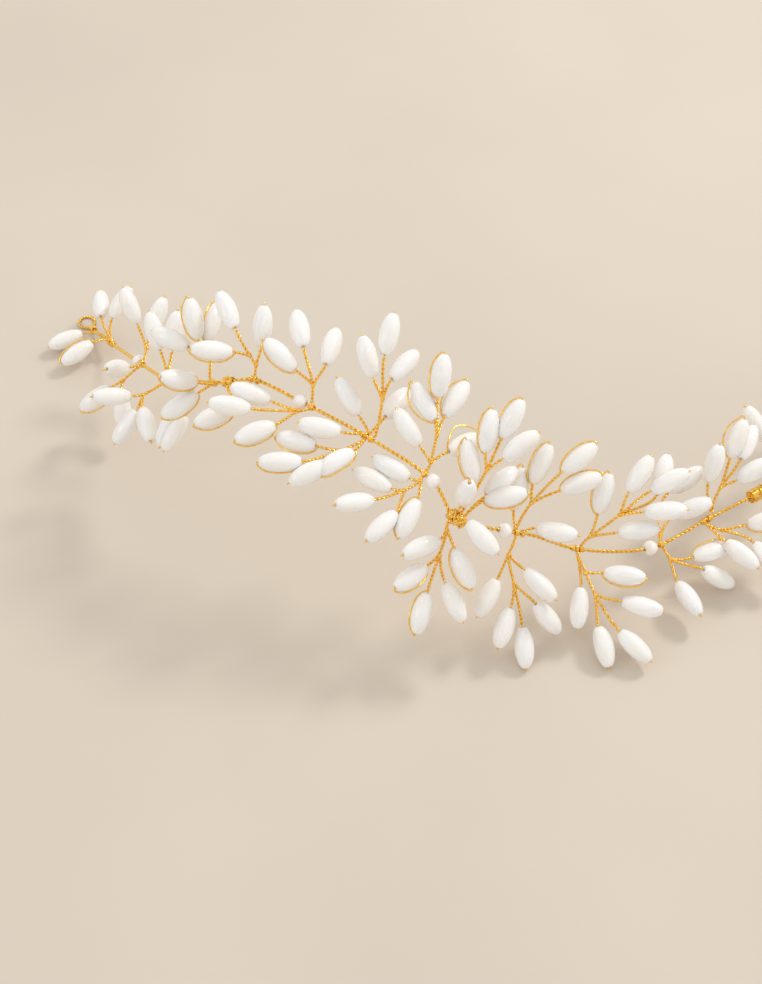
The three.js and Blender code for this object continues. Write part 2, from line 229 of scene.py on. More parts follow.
nacreLook = {
    "white": (0.97, 0.95, 0.925, 1), "cool": (0.89, 0.885, 0.88, 1), "warm": (0.955, 0.89, 0.82, 1),
    "bright": (0.97, 0.965, 0.955, 1), "line": (0.93, 0.93, 0.94, 1),
    "roughness": (0.16, 0.34), "glow": 0.42, "glowDepth": (1.6, 1.2, 0.85),
    "index": 1.53, "coat": 0.35, "coatRoughness": 0.08,
}


def nacreMaterial():
    # beadSpace is in the bead's own millimetres, Z along its bore
    material, tree, shader = newMaterial("nacre")
    place = addNode(tree, "Attribute", attribute_name="beadSpace").outputs["Vector"]
    alongBead = addNode(tree, "Mapping", {"Vector": place, "Scale": (1.0, 1.0, 0.22)})
    bands = addNode(tree, "TexNoise", {
        "Vector": alongBead.outputs["Vector"], "Scale": 0.55, "Detail": 3.0, "Roughness": 0.5,
        "Distortion": 0.7})
    clouds = addNode(tree, "TexNoise", {"Vector": place, "Scale": 0.16, "Detail": 2.0})
    layers = addNode(tree, "TexWave", {
        "Vector": alongBead.outputs["Vector"], "Scale": 0.9, "Distortion": 3.5, "Detail": 3.0,
        "Detail Scale": 1.2}, bands_direction="X")
    banded = addRamp(tree, bands.outputs["Fac"], [
        (0.36, nacreLook["cool"]), (0.5, nacreLook["white"]), (0.66, nacreLook["bright"])])
    warmth = addNode(tree, "MapRange", {
        "Value": clouds.outputs["Fac"], "From Min": 0.4, "From Max": 0.68, "To Max": 0.55})
    mixed = addNode(tree, "Mix", {"Factor": warmth.outputs["Result"]}, data_type="RGBA")
    tree.links.new(banded, mixed.inputs["A"])
    mixed.inputs["B"].default_value = nacreLook["warm"]
    lines = addRamp(tree, layers.outputs["Fac"], [(0.0, nacreLook["line"]), (0.45, (1, 1, 1, 1))])
    lined = addNode(tree, "Mix", {"Factor": 0.55}, data_type="RGBA", blend_type="MULTIPLY")
    tree.links.new(mixed.outputs["Result"], lined.inputs["A"])
    tree.links.new(lines, lined.inputs["B"])
    gloss = addNode(tree, "MapRange", {
        "Value": bands.outputs["Fac"], "From Min": 0.3, "From Max": 0.7,
        "To Min": nacreLook["roughness"][1], "To Max": nacreLook["roughness"][0]})
    ripple = addNode(tree, "Bump", {
        "Height": layers.outputs["Fac"], "Strength": 0.10, "Distance": 0.05 * mm})
    tree.links.new(lined.outputs["Result"], shader.inputs["Base Color"])
    tree.links.new(gloss.outputs["Result"], shader.inputs["Roughness"])
    tree.links.new(ripple.outputs["Normal"], shader.inputs["Normal"])
    shader.inputs["Subsurface Weight"].default_value = nacreLook["glow"]
    shader.inputs["Subsurface Radius"].default_value = nacreLook["glowDepth"]
    shader.inputs["Subsurface Scale"].default_value = mm
    shader.inputs["IOR"].default_value = nacreLook["index"]
    shader.inputs["Coat Weight"].default_value = nacreLook["coat"]
    shader.inputs["Coat Roughness"].default_value = nacreLook["coatRoughness"]
    return material


pearlLook = {
    "body": (0.975, 0.93, 0.90, 1), "blush": (0.965, 0.895, 0.86, 1),
    "roughness": 0.2, "glow": 0.25, "glowDepth": (1.0, 0.7, 0.55), "coat": 0.6, "coatRoughness": 0.05,
}


def pearlMaterial():
    material, tree, shader = newMaterial("pearl")
    place = addNode(tree, "Mapping", {
        "Vector": addNode(tree, "TexCoord").outputs["Object"], "Scale": (1000, 1000, 1000)})
    clouds = addNode(tree, "TexNoise", {"Vector": place.outputs["Vector"], "Scale": 0.7, "Detail": 3.0})
    pits = addNode(tree, "TexNoise", {"Vector": place.outputs["Vector"], "Scale": 2.6, "Detail": 2.0})
    tree.links.new(addRamp(tree, clouds.outputs["Fac"], [
        (0.35, pearlLook["blush"]), (0.65, pearlLook["body"])]), shader.inputs["Base Color"])
    skin = addNode(tree, "Bump", {
        "Height": pits.outputs["Fac"], "Strength": 0.08, "Distance": 0.06 * mm})
    tree.links.new(skin.outputs["Normal"], shader.inputs["Normal"])
    shader.inputs["Roughness"].default_value = pearlLook["roughness"]
    shader.inputs["Subsurface Weight"].default_value = pearlLook["glow"]
    shader.inputs["Subsurface Radius"].default_value = pearlLook["glowDepth"]
    shader.inputs["Subsurface Scale"].default_value = mm
    shader.inputs["Coat Weight"].default_value = pearlLook["coat"]
    shader.inputs["Coat Roughness"].default_value = pearlLook["coatRoughness"]
    return material


gold, nacre, lustre = goldMaterial(), nacreMaterial(), pearlMaterial()
print("materials made")


wire = {
    "strand": 0.35, "roundness": 1, "pairTurn": 1.6, "pairSpread": 0.54, "ringStep": 0.16,
    "stemDiameter": 0.65, "coilSteps": 14,
}


def finishPiece(name, mesh, material, node, rides=True):
    piece = bpy.data.objects.new(name, mesh)
    bpy.context.scene.collection.objects.link(piece)
    mesh.materials.clear()
    mesh.materials.append(material)
    for face in mesh.polygons:
        face.use_smooth = True
    if rides:
        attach(piece, bodyOf[node])
    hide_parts(node)
    return piece


def strandMesh(name, paths, diameter=wire["strand"]):
    # every path becomes one round strand with closed ends, all in one mesh
    curve = bpy.data.curves.new(name, "CURVE")
    curve.dimensions = "3D"
    curve.bevel_depth = diameter / 2 * mm
    curve.bevel_resolution = wire["roundness"]
    curve.use_fill_caps = True
    for path in paths:
        line = curve.splines.new("POLY")
        line.points.add(len(path) - 1)
        for point, place in zip(line.points, path):
            point.co = (*(place * mm), 1)
    holder = bpy.data.objects.new(name, curve)
    mesh = bpy.data.meshes.new_from_object(holder)
    bpy.data.objects.remove(holder)
    bpy.data.curves.remove(curve)
    return mesh


def wirePiece(name, paths, node, diameter=wire["strand"]):
    return finishPiece(name, strandMesh(name, paths, diameter), gold, node)


def framesAlong(route, start, end, step):
    count = max(2, math.ceil(abs(end - start) / step))
    frames = []
    normal = sideways(route.direction(start))
    for i in range(count + 1):
        place = start + (end - start) * i / count
        along = route.direction(place)
        normal = squareTo(normal, along)
        frames.append((place, route.at(place), normal, along.cross(normal)))
    return frames


def windOn(frames, radius, turn, phase):
    path = []
    for place, point, normal, across in frames:
        angle = phase + abs(place - frames[0][0]) / turn * math.tau
        path.append(point + (normal * math.cos(angle) + across * math.sin(angle)) * radius)
    return path


def pairTurn():
    return wire["pairTurn"] * turns.uniform(0.85, 1.25)


def twistedPair(route, start, end):
    frames = framesAlong(route, start, end, wire["ringStep"])
    turn, phase = pairTurn(), turns.uniform(0, math.tau)
    radius = wire["strand"] * wire["pairSpread"]
    return [windOn(frames, radius, turn, phase), windOn(frames, radius, turn, phase + math.pi)]


def coil(route, start, end, radius, count, wander=0.0, loose=0.0):
    # turns of one strand round a route: wander shifts them along it and loose lifts them
    lift, drift, phase = (turns.uniform(0, math.tau) for _ in range(3))
    turnSteps = wire["coilSteps"]
    total = max(4, round(count * turnSteps))
    path = []
    for i, (place, point, normal, across) in enumerate(framesAlong(
            route, start, end, abs(end - start) / total)):
        angle = phase + i / turnSteps * math.tau
        size = radius + loose * (0.5 + 0.5 * math.sin(angle * 0.37 + lift))
        slide = wander * math.sin(angle * 0.61 + drift) * math.sin(math.pi * i / total)
        path.append(point + normal.cross(across) * slide
                    + (normal * math.cos(angle) + across * math.sin(angle)) * size)
    return path


def bent(start, end, leaving, arriving, steps=14):
    # a curve that leaves start along one direction and comes to end along another
    reach = (end - start).length * 0.36
    a, b = start + leaving * reach, end - arriving * reach
    points = []
    for i in range(steps + 1):
        t = i / steps
        points.append(start * (1 - t)**3 + a * (3 * t * (1 - t)**2)
                      + b * (3 * t * t * (1 - t)) + end * t**3)
    return Route(points)


rice = {"length": 8.5, "width": 4.2, "bore": 0.6, "rim": 0.13, "segments": 20, "rings": 11}


def turnedMesh(profile, segments):
    # turns a closed outline of (radius, height) about Z
    made = bmesh.new()
    rim = [made.verts.new((radius, 0, height)) for radius, height in profile]
    edges = [made.edges.new((a, b)) for a, b in zip(rim, rim[1:] + rim[:1])]
    bmesh.ops.spin(made, geom=rim + edges, cent=(0, 0, 0), axis=(0, 0, 1), dvec=(0, 0, 0),
                   angle=math.tau, steps=segments, use_merge=True, use_duplicate=False)
    bmesh.ops.remove_doubles(made, verts=made.verts, dist=1e-4)
    return made


def beadRadius(share, ends):
    # a spindle that is cut square at its two ends, which differ a little
    belly = rice["width"] / 2
    side = 2 * share - 1
    cut = ends[0] if side < 0 else ends[1]
    reach = 1 / math.sqrt(1 - (cut / belly)**2)
    return belly * math.sqrt(max(0.0, 1 - (side / reach)**2))


def riceBead(name, foot, axis, ends, node):
    long, bore, rim = rice["length"], rice["bore"] / 2, rice["rim"]
    outline = [(bore, rim), (bore + rim * 0.6, 0.0), (ends[0] - rim, 0.0)]
    for i in range(rice["rings"]):
        share = 0.5 - 0.5 * math.cos(math.pi * (i + 0.35) / (rice["rings"] - 0.3))
        outline.append((beadRadius(share, ends), share * long))
    outline += [(ends[1] - rim, long), (bore + rim * 0.6, long), (bore, long - rim)]
    made = turnedMesh(outline, rice["segments"])
    bmesh.ops.rotate(made, verts=made.verts, matrix=Matrix.Rotation(turns.uniform(0, math.tau), 3, "Z"))
    own = made.verts.layers.float_vector.new("beadSpace")
    offset = Vector([turns.uniform(-40, 40) for _ in range(3)])
    lean, swell = turns.uniform(0, 0.12), turns.uniform(0.95, 1.0)
    for vert in made.verts:
        vert[own] = vert.co + offset
        vert.co.y *= swell
        vert.co.x += lean * math.sin(math.pi * vert.co.z / long)
    bmesh.ops.rotate(made, verts=made.verts, matrix=Matrix.Rotation(turns.uniform(0, math.tau), 3, "Z"))
    across = sideways(axis)
    stand = Matrix((across, axis.cross(across), axis)).transposed()
    bmesh.ops.transform(made, verts=made.verts, matrix=Matrix.Translation(foot) @ stand.to_4x4())
    bmesh.ops.scale(made, verts=made.verts, vec=(mm, mm, mm))
    bmesh.ops.recalc_face_normals(made, faces=made.faces)
    mesh = bpy.data.meshes.new(name)
    made.to_mesh(mesh)
    made.free()
    return finishPiece(name, mesh, nacre, node)


tipBend = {"reach": 0.36, "perSlack": 0.5, "mostSlack": 0.8, "clearance": 0.02}
# Which way the strand that comes back along a bead lies.
strandSides = {
    "left": Vector((-1, 0, 0)), "right": Vector((1, 0, 0)),
    "above": Vector((0, 0.77, 0.64)), "below": Vector((0, -0.77, -0.64)),
    "behind": Vector((0, 0.64, -0.77)),
}


def beadWire(stemRoute, foot, axis, ends, side, slack):
    # one strand: up the stem, through the bead, round its tip, back beside it, down the stem
    toSide = squareTo(strandSides[side] + axis * 0.001, axis)
    acrossSide = axis.cross(toSide)
    wander = turns.uniform(-0.35, 0.35)
    half = wire["strand"] / 2
    long, hug = rice["length"], half + tipBend["clearance"]
    tipReach = tipBend["reach"] + tipBend["perSlack"] * min(slack, tipBend["mostSlack"])
    frames = framesAlong(stemRoute, 0, stemRoute.length - 0.5, wire["ringStep"])
    turn = pairTurn()
    atSide = math.atan2(toSide.dot(frames[-1][3]), toSide.dot(frames[-1][2]))
    phase = atSide - (frames[-1][0] - frames[0][0]) / turn * math.tau

    def beside(height, out):
        sway = wander * math.sin(math.pi * min(max(height / long, 0), 1))
        return foot + axis * height + (toSide * math.cos(sway) + acrossSide * math.sin(sway)) * out

    back = [beside(-0.12, ends[0] + 0.02)]
    for i in range(1, 8):
        share = i / 8
        back.append(beside(share * long, beadRadius(share, ends) + hug
                           + slack * math.sin(math.pi * share**1.25)))
    back += [
        beside(long - 0.02, ends[1] + hug + 0.35 * slack),
        beside(long + 0.6 * tipReach, ends[1] * 0.85 + 0.45 * slack),
        beside(long + tipReach, ends[1] * 0.4 + 0.15 * slack),
        beside(long + 0.35 * tipReach, 0.06),
    ]
    up = windOn(frames, half, turn, phase + math.pi)
    down = windOn(frames, half, turn, phase)
    through = [beside(0.35, 0.0), beside(long / 2, 0.0), beside(long - 0.7, 0.0)]
    over = smoothRoute([up[-1], *through, *reversed(back), down[-1]], 5)
    return up[:-1] + over + list(reversed(down[:-1]))


# A stem or a bead grows from where its parent ends: its stem's length, heading and rise,
# and for a bead its own heading and rise, then the side of the returning strand and how
# far that strand stands off the bead.
def stem(length, heading, rise, *shoots):
    return {"length": length, "heading": heading, "rise": rise, "shoots": shoots}


def bead(length, heading, rise, beadHeading, beadRise, side="behind", slack=0.04):
    return {"length": length, "heading": heading, "rise": rise, "axis": headed(beadHeading, beadRise),
            "side": side, "slack": slack}


# name, where it is tied, shift along the wire, the side (heading, rise) it is tied on, shoots
sprigs = [
    ("sprig_left_end", "hub1", 0, (0, 90), [
        bead(4.5, 80, 30, 50, 35),
        bead(5.5, 115, 20, 95, 0),
        bead(4.5, 195, -14, 215, -12, "above", 0.1),
        bead(8, 155, -16, 200, -8)]),
    ("sprig_pearl1_back", "pearl1", 2.6, (60, 20), [
        stem(3, 80, 30,
          bead(3.5, 70, 35, 60, 40),
          bead(6, 115, 30, 118, 45))]),
    ("sprig_pearl1_front", "pearl1", 3, (210, -10), [
        bead(2.5, 200, 20, 240, 40),
        stem(4.5, 215, -25,
          bead(3, 200, -20, 205, -25, "below", 0.1),
          bead(2.5, 255, -35, 275, -45))]),
    ("sprig_hub2_back", "hub2", -0.8, (70, 30), [
        bead(4.5, 75, 40, 75, 50),
        bead(5, 115, 25, 110, 40)]),
    ("sprig_hub2_front", "hub2", 0.8, (215, -20), [
        stem(5.5, 200, -20,
          bead(2.5, 185, 5, 200, 20),
          bead(3.5, 240, -45, 225, -35),
          bead(3, 275, -25, 285, -10))]),
    ("sprig_pearl2_front", "pearl2", 2.6, (225, -30), [
        bead(6, 226, -42, 238, -34),
        bead(6.5, 255, -40, 232, -30)]),
    ("sprig_hub3_back", "hub3", -1, (60, 60), [
        stem(4, 85, 50,
          bead(4.5, 140, 45, 105, 48, "left", 0.15),
          bead(3.5, 105, 20, 75, 25, "above", 0.25),
          bead(5, 160, 15, 155, 8))]),
    ("sprig_hub3_front", "hub3", 0.6, (225, 10), [
        bead(3, 190, 35, 200, 32, "below", 0.1),
        bead(3, 214, -8, 211, -14, "below", 0.1)]),
    ("sprig_binding_left", "binding_left", 0, (260, 0), [
        bead(5.5, 288, -6, 203, -6, "below", 0.15)]),
    ("sprig_hub4_back", "hub4", 0, (80, 50), [
        stem(2, 80, 40,
          bead(3.5, 65, 45, 80, 52),
          stem(2.5, 145, 40,
            bead(3.5, 190, 20, 185, 12, "below", 0.12),
            bead(6, 125, 40, 114, 22)))]),
    ("sprig_pearl3_back", "pearl3", 2.6, (70, 60), [
        stem(4, 85, 50,
          bead(7.5, 110, 45, 100, 15),
          bead(4.6, 38, 42, 74, 14),
          bead(4.5, 150, 22, 141, 26, "left", 0.07))]),
    ("sprig_pearl3_front", "pearl3", 2.8, (238, 0), [
        stem(2.5, 183, 0,
          bead(6, 156, 5, 165, 16),
          bead(9.5, 183, 9, 180, 14),
          bead(6, 223, 3, 202, -5, "below", 0.05))]),
    ("sprig_hub5_back", "hub5", 1.4, (70, 40), [
        stem(7.5, 75, 47,
          bead(4.5, 128, 48, 110, 46),
          bead(8.5, 85, 45, 73, 36),
          bead(4.2, 48, 48, 52, 5))]),
    ("sprig_hub5_behind", "hub5", 0, (70, 0), [
        bead(4.4, 131, 20, 128, 38),
        bead(4.5, 52, 5, 56, 2)]),
    ("sprig_hub5_left", "hub5", -1.6, (200, 30), [
        bead(3.5, 176, 12, 171, 10)]),
    ("sprig_hub5_front", "hub5", 0, (230, 0), [
        stem(5, 203, 0,
          bead(5, 161, -3, 158, -3, "below", 0.05),
          bead(8, 199, 0, 182, 3, "below", 0.07),
          bead(4, 235, -2, 203, -12)),
        bead(3.2, 235, 8, 212, -10, "right", 0.07)]),
    ("sprig_pearl4_back", "pearl4", -2.2, (60, 50), [
        stem(2, 60, 40,
          bead(4, 135, 30, 130, 36),
          stem(5.5, 72, 45,
            bead(2.8, 104, 38, 122, 30, "left", 0.6),
            bead(7.5, 87, 45, 76, 46, "left", 0.1),
            bead(4, 62, 28, 55, 18, "left", 0.35)),
          bead(4.2, 33, 2, 40, -12, "above", 1.6))]),
    ("sprig_pearl4_front", "pearl4", -2.4, (235, -10), [
        stem(1.2, 260, -20,
          bead(2.4, 155, 4, 150, 12),
          stem(4, 205, -10,
            bead(2.5, 155, -8, 153, 10),
            bead(6.2, 193, -8, 204, 18),
            bead(4.5, 248, -31, 226, -8)),
          bead(3.5, 258, -32, 240, -28, "left", 0.1))]),
    ("sprig_centre_top", "binding_centre", -1, (60, 60), [
        bead(1.2, 60, 50, 300, 76, "above", 0.15)]),
    ("sprig_centre_back", "binding_centre", 0.2, (50, 40), [
        stem(5, 46, 42,
          bead(1.5, 115, 40, 103, 44, "left", 0.08),
          stem(4.5, 46, 45,
            bead(3.5, 98, 45, 75, 46, "left", 0.15),
            bead(7, 56, 40, 48, 46, "left", 0.1),
            bead(4, 15, 35, 21, 30)))]),
    ("sprig_centre_right", "binding_centre", 1.6, (40, 10), [
        bead(4, 16, 20, 2, 14, "below", 0.1),
        bead(4.8, 30, 22, 42, 10)]),
    ("sprig_centre_low", "binding_centre", 0.6, (310, 0), [
        bead(1.6, 0, 16, 314, -20)]),
    ("sprig_centre_front", "binding_centre", -0.8, (245, -35), [
        stem(1.6, 290, -45,
          bead(2.4, 224, -24, 210, 6),
          bead(4, 305, -48, 298, -34, "left", 0.2),
          stem(5.5, 242, -50,
            bead(3.4, 202, -32, 222, 4, "below", 0.07),
            bead(7.8, 243, -45, 250, -38, "left", 0.03),
            bead(5.6, 289, -49, 298, -32)))]),
    ("sprig_pearl5_back", "pearl5", 2.6, (90, 20), [
        bead(3.5, 95, 40, 72, 40, "left", 0.65),
        stem(6, 41, 40,
          bead(4, 85, 45, 55, 48, "left", 0.12),
          bead(9, 27, 40, 27, 28, "left", 0.1),
          bead(6.5, 11, 20, 7, 20, "above", 0.15))]),
    ("sprig_pearl5_right", "pearl5", 4.4, (60, 60), [
        bead(2.5, 5, 0, 342, 4)]),
    ("sprig_pearl5_front", "pearl5", 2.8, (270, -20), [
        stem(4.2, 237, -33,
          bead(5.5, 233, -50, 233, -35),
          bead(5, 341, -40, 319, -22),
          stem(6.5, 292, -55,
            bead(5, 256, -55, 246, -36),
            bead(9.5, 289, -57, 275, -40),
            bead(6.2, 336, -38, 331, -48)))]),
    ("sprig_hub6_back", "hub6", 0.6, (60, 40), [
        stem(2.5, 16, 35,
          bead(5, 67, 45, 66, 50, "left", 0.15),
          bead(5.5, 3, 5, 0, 8),
          stem(7.5, 19, 35,
            bead(5, 61, 45, 48, 36),
            bead(8, 30, 22, 16, 22),
            bead(5, 0, 8, 354, 10),
            bead(10, 33, 2, 72, 20)))]),
    ("sprig_hub6_front", "hub6", -0.2, (280, -10), [
        bead(6.5, 278, -48, 262, -36),
        stem(4, 300, -38,
          bead(3.8, 2, 3, 347, 4, "below", 0.1),
          stem(5, 300, -38,
            bead(5.5, 349, -6, 343, -2),
            bead(6.3, 275, -40, 285, -32),
            bead(8.8, 308, -28, 317, -19)))]),
    ("sprig_pearl6_back", "pearl6", 2.6, (100, 10), [
        bead(6.4, 52, 14, 11, 20),
        bead(12.2, 72, 10, 27, 20)]),
    ("sprig_pearl6_front", "pearl6", 2.6, (300, -20), [
        stem(3, 306, -28,
          bead(5.2, 17, -10, 19, 1, "above", 0.1),
          bead(7.2, 351, -15, 356, -36),
          bead(4.8, 285, -27, 298, -10))]),
    ("sprig_hub7_back", "hub7", 2, (110, 20), [
        bead(6, 95, 55, 62, 60),
        stem(5.5, 50, 42,
          bead(6.5, 66, 45, 60, 52, "left", 0.7),
          bead(7, 44, 36, 64, 14),
          bead(3.5, 10, 20, 12, 30))]),
    ("sprig_hub7_front", "hub7", -0.6, (310, -10), [
        bead(4.6, 315, -10, 318, -13),
        stem(3, 345, 0,
          bead(5.5, 14, 2, 2, 14, "below", 0.1),
          bead(7, 341, -14, 309, -20))]),
    ("sprig_hub8_back", "hub8", 0, (125, 45), [
        stem(4, 115, 45,
          bead(4.5, 150, 40, 135, 45),
          bead(6, 95, 50, 90, 48),
          bead(5, 60, 30, 62, 25))]),
    ("sprig_pearl7_front", "pearl7", 2.6, (310, -10), [
        stem(3, 300, -15,
          bead(3, 330, -5, 330, 0, "above", 0.1),
          bead(5, 290, -18, 290, -14),
          bead(4, 250, -12, 248, -12))]),
    ("sprig_hub9_back", "hub9", 0.4, (130, 40), [
        stem(5, 125, 40,
          bead(4.5, 165, 35, 160, 30),
          bead(6.5, 120, 48, 115, 48),
          bead(5, 80, 25, 75, 22, "left", 0.2))]),
    ("sprig_hub9_front", "hub9", 0.4, (310, -15), [
        stem(4, 320, -20,
          bead(4.5, 2, -8, 5, -6),
          bead(6.5, 325, -20, 325, -14),
          bead(4, 300, -15, 300, -15))]),
    ("sprig_pearl8_back", "pearl8", 2.6, (135, 25), [
        bead(4.5, 175, 20, 175, 26),
        bead(5.5, 140, 42, 135, 44, "left", 0.15),
        bead(6, 105, 25, 100, 25)]),
    ("sprig_right_end", "hub10", 0, (0, 90), [
        bead(5, 140, 12, 130, 8),
        bead(7, 95, 8, 85, 2),
        bead(4.5, 350, -12, 340, -10, "above", 0.1),
        bead(7.5, 15, -14, 15, -8)]),
]

sprigTie = {
    "gap": 0.3, "forkDiameter": 1.5, "forkTurns": (1.0, 1.7), "forkCoil": (0.5, 0.05), "forkRadius": 0.33,
    "tieTurns": (1.4, 2.4), "tieRadius": 0.6, "tiePitch": 0.17, "partsBefore": 0.7,
}
mainWire = {"diameter": 0.8, "strand": 0.42, "turn": 2.2}
hubWrap = {
    "diameter": 1.7, "length": 3.0, "turns": 8.5, "innerInset": 1.35, "looseTurns": 3.2, "looseLift": 0.8,
}
bindings = {          # each layer: share of the radius, turns, wander, looseness, inset
    "binding_left": {"diameter": 2.4, "length": 2.6, "tangles": 0, "layers": [
        (0.55, 7, 0.0, 0.0, 0.0), (0.85, 7.6, 0.12, 0.1, 0.0), (1.0, 2.4, 0.3, 0.0, 0.5)]},
    "binding_centre": {"diameter": 3.4, "length": 4.6, "tangles": 6, "layers": [
        (0.4, 12, 0.0, 0.0, 0.0), (0.6, 11, 0.5, 0.2, 0.3), (0.82, 5.4, 1.1, 0.15, 0.7)]},
    "binding_right": {"diameter": 3.2, "length": 5.6, "tangles": 0, "layers": [
        (0.42, 15, 0.0, 0.0, 0.0), (0.63, 15, 0.1, 0.05, 0.1), (0.84, 15.5, 0.2, 0.12, 0.15),
        (0.98, 4.3, 1.0, 0.0, 1.2)]},
}


def collarRadius(at):
    if at in bindings:
        return bindings[at]["diameter"] / 2
    return (hubWrap["diameter"] if at in hubNames else mainWire["diameter"]) / 2


def growShoots(sprig, shoots, foot, start, cameFrom):
    # foot is where the CAD shoots part, and start is a little way back in their parent
    for shoot in shoots:
        direction = headed(shoot["heading"], shoot["rise"])
        tip = foot + direction * shoot["length"]
        leaving = (cameFrom * 0.8 + direction).normalized()
        if "shoots" in shoot:
            route = bent(start, tip, leaving, direction)
            sprig["paths"] += twistedPair(route, 0, route.length)
            far, near = sprigTie["forkCoil"]       # before the fork
            sprig["paths"].append(coil(route, route.length - far, route.length - near,
                                       sprigTie["forkRadius"], turns.uniform(*sprigTie["forkTurns"]),
                                       loose=0.08))
            parting = route.at(route.length - sprigTie["partsBefore"])
            growShoots(sprig, shoot["shoots"], tip, parting, direction)
        else:
            arriving = (direction * 0.3 + shoot["axis"]).normalized()
            route = bent(start, tip, leaving, arriving)
            ends = (turns.uniform(0.78, 0.92), turns.uniform(0.62, 0.78))
            sprig["paths"].append(beadWire(
                route, tip, shoot["axis"], ends, shoot["side"], shoot["slack"]))
            sprig["beads"].append((tip, shoot["axis"], ends))


for node, at, slide, tiedSide, shoots in sprigs:
    place = distanceTo(at) + slide
    along = vine.direction(place)
    outward = squareTo(headed(*tiedSide), along)
    footRadius = (sprigTie["forkDiameter"] if len(shoots) > 1 else wire["stemDiameter"]) / 2
    foot = vine.at(place) + outward * (collarRadius(at) + sprigTie["gap"] + footRadius)
    root = vine.at(place) + outward * (collarRadius(at) * 0.8)
    sprig = {"paths": [], "beads": []}
    growShoots(sprig, shoots, foot, root, outward)
    if at not in bindings and at not in hubNames:
        count = turns.uniform(*sprigTie["tieTurns"])
        half = count * sprigTie["tiePitch"]
        sprig["paths"].append(coil(vine, place - half, place + half, sprigTie["tieRadius"], count,
                                   wander=0.15, loose=0.1))
    short = node.removeprefix("sprig_")
    wirePiece("sprig_wires_" + short, sprig["paths"], node)
    for count, (beadFoot, axis, ends) in enumerate(sprig["beads"], 1):
        riceBead(f"rice_bead_{short}_{count}", beadFoot, axis, ends, node)
print("sprigs made:", len(sprigs))


# Two heavier wires are twisted together along the whole route. They are cut beside every
# pearl, on its outer side, and a short stretch lies between the two sections.
bendZone = (1.55, 2.5)         # from the pearl's centre


def mainStrands():
    frames = framesAlong(vine, 0, vine.length, wire["ringStep"])
    return [windOn(frames, mainWire["strand"] / 2, mainWire["turn"], phase) for phase in (0, math.pi)]


def cutStrands(strands, start, end):
    # the stretch of every strand between two distances along the vine
    cut = []
    for strand in strands:
        steps = len(strand) - 1
        first, last = (round(place / vine.length * steps) for place in (start, end))
        cut.append(strand[first:last + 1])
    return cut


strands = mainStrands()
centreSection = pearlCount // 2
near, far = bendZone
for section in range(pearlCount + 1):
    start, end = 0.0, vine.length
    if section > 0:
        start = pearlPlaces[section - 1] + (far if section > centreSection else -near)
    if section < pearlCount:
        end = pearlPlaces[section] + (near if section >= centreSection else -far)
    wirePiece(f"main_strands_{section + 1}", cutStrands(strands, start, end),
              f"main_wire_{section + 1}", mainWire["strand"])

for number, place in enumerate(pearlPlaces, 1):
    way = 1 if number > centreSection else -1
    inner, outer = (number, number + 1) if way > 0 else (number + 1, number)
    start, end = place + way * near, place + way * far
    name = f"main_bend_{number}"
    mesh = strandMesh(name, cutStrands(strands, min(start, end), max(start, end)), mainWire["strand"])
    piece = finishPiece(name, mesh, gold, f"main_wire_{outer}", rides=False)
    vine.at(start) * mm
    vine.at(end) * mm
    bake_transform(piece)
print("main wire made:", pearlCount + 1, "stretches and", pearlCount, "bends")


def windLayers(route, start, end, layers):
    # every layer is one strand: its radius, number of turns, wander, looseness and inset
    return [coil(route, start + inset, end - inset, radius, count, wander, loose)
            for radius, count, wander, loose, inset in layers]


def tangle(centre, axis, radius, halfLength, knots=9):
    # a loose strand that wanders over the outside of a binding
    across = sideways(axis)
    angle = turns.uniform(0, math.tau)
    points = []
    for _ in range(knots):
        angle += turns.uniform(1.1, 2.3)
        height = turns.uniform(-0.9, 0.9)
        out = radius * turns.uniform(0.72, 1.08) * (1 - 0.35 * height**2)
        points.append(centre + axis * height * halfLength
                      + (across * math.cos(angle) + axis.cross(across) * math.sin(angle)) * out)
    return smoothRoute(points, 9)


for number, name in enumerate(hubNames, 1):
    place, half = distanceTo(name), hubWrap["length"] / 2
    inner = hubWrap["diameter"] / 2 - wire["strand"] * hubWrap["innerInset"]
    section = 1 + sum(place > pearlPlace for pearlPlace in pearlPlaces)
    layers = [
        (inner, hubWrap["turns"] + turns.uniform(-1, 1), 0.15, 0.1, 0.1),
        (inner + wire["strand"] * hubWrap["looseLift"], hubWrap["looseTurns"], 0.5, 0.05,
         turns.uniform(0.4, 0.9)),
    ]
    wirePiece(f"hub_wrap_{number}", windLayers(vine, place - half, place + half, layers),
              f"main_wire_{section}")

for name, binding in bindings.items():
    place, half = distanceTo(name), binding["length"] / 2 - wire["strand"] / 2
    outer = binding["diameter"] / 2 - wire["strand"] / 2
    layers = [(outer * share, count, wander, loose, inset)
              for share, count, wander, loose, inset in binding["layers"]]
    paths = windLayers(vine, place - half, place + half, layers)
    paths += [tangle(vine.at(place), vine.direction(place), outer, half)
              for _ in range(binding["tangles"])]
    wirePiece(name + "_winding", paths, name)
print("bindings and hub wraps made")


pearl = {"diameter": 3.2, "bore": 1.0, "rim": 0.1, "segments": 28, "rings": 14, "unround": 0.02}

